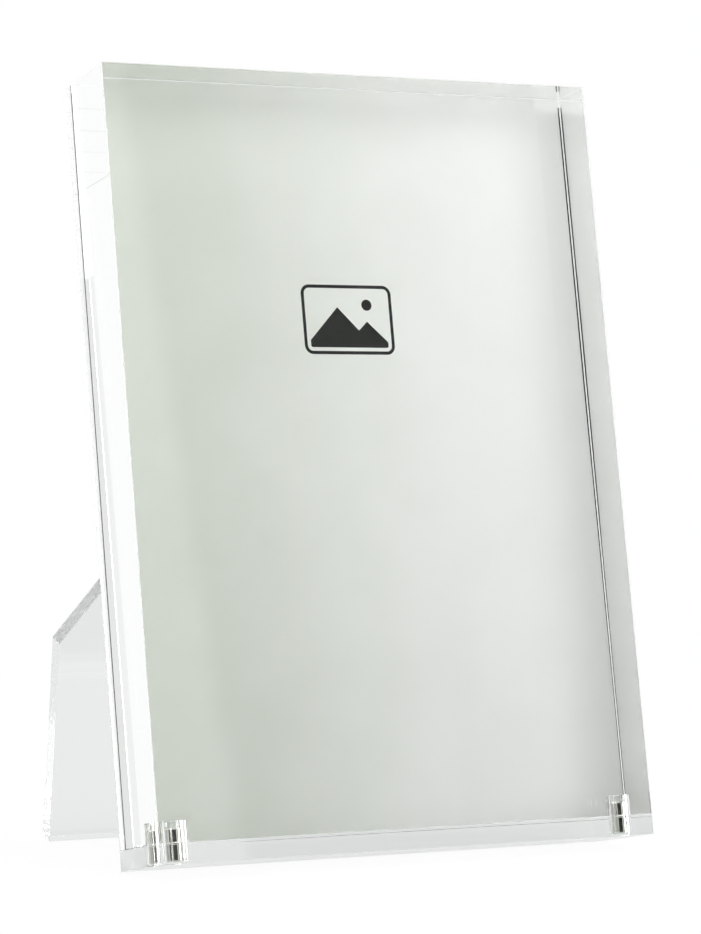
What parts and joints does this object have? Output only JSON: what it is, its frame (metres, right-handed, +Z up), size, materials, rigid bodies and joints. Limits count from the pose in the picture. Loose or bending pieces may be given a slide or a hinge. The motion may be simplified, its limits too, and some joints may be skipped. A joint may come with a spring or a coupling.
{
  "type": "acrylic block frame",
  "caption": "Clear acrylic picture frame: a thick block lifts off locating pins in front of a thin back plate, with a slot for a print and a bent easel leg.",
  "frame": {"origin": "on the table, in the middle of the frame's outer box", "axes": "+X to the right seen from the front, +Y to the back where the leg stands, +Z up"},
  "size_m": [0.127, 0.086, 0.1837],
  "materials": {
    "clear_acrylic": "clear cast sheet, polished faces and edges",
    "insert_card": "satin printed card, grey-green",
    "pin_steel": "bright nickel plating"
  },
  "bodies": {
    "stand": {"back_plate": "clear_acrylic", "base_ledge": "clear_acrylic", "easel_leg": "clear_acrylic", "left_pin": "pin_steel", "right_pin": "pin_steel"},
    "block": {"front_block": "clear_acrylic"},
    "insert": {"photo_insert": "insert_card"}
  },
  "joints": [
    {"name": "block_lift", "type": "slide", "parent": "stand", "child": "block", "axis": [0, 0.184, 0.9829], "range_m": [0, 0.19]},
    {"name": "insert_lift", "type": "slide", "parent": "stand", "child": "insert", "axis": [0, 0.184, 0.9829], "range_m": [0, 0.185]}
  ]
}
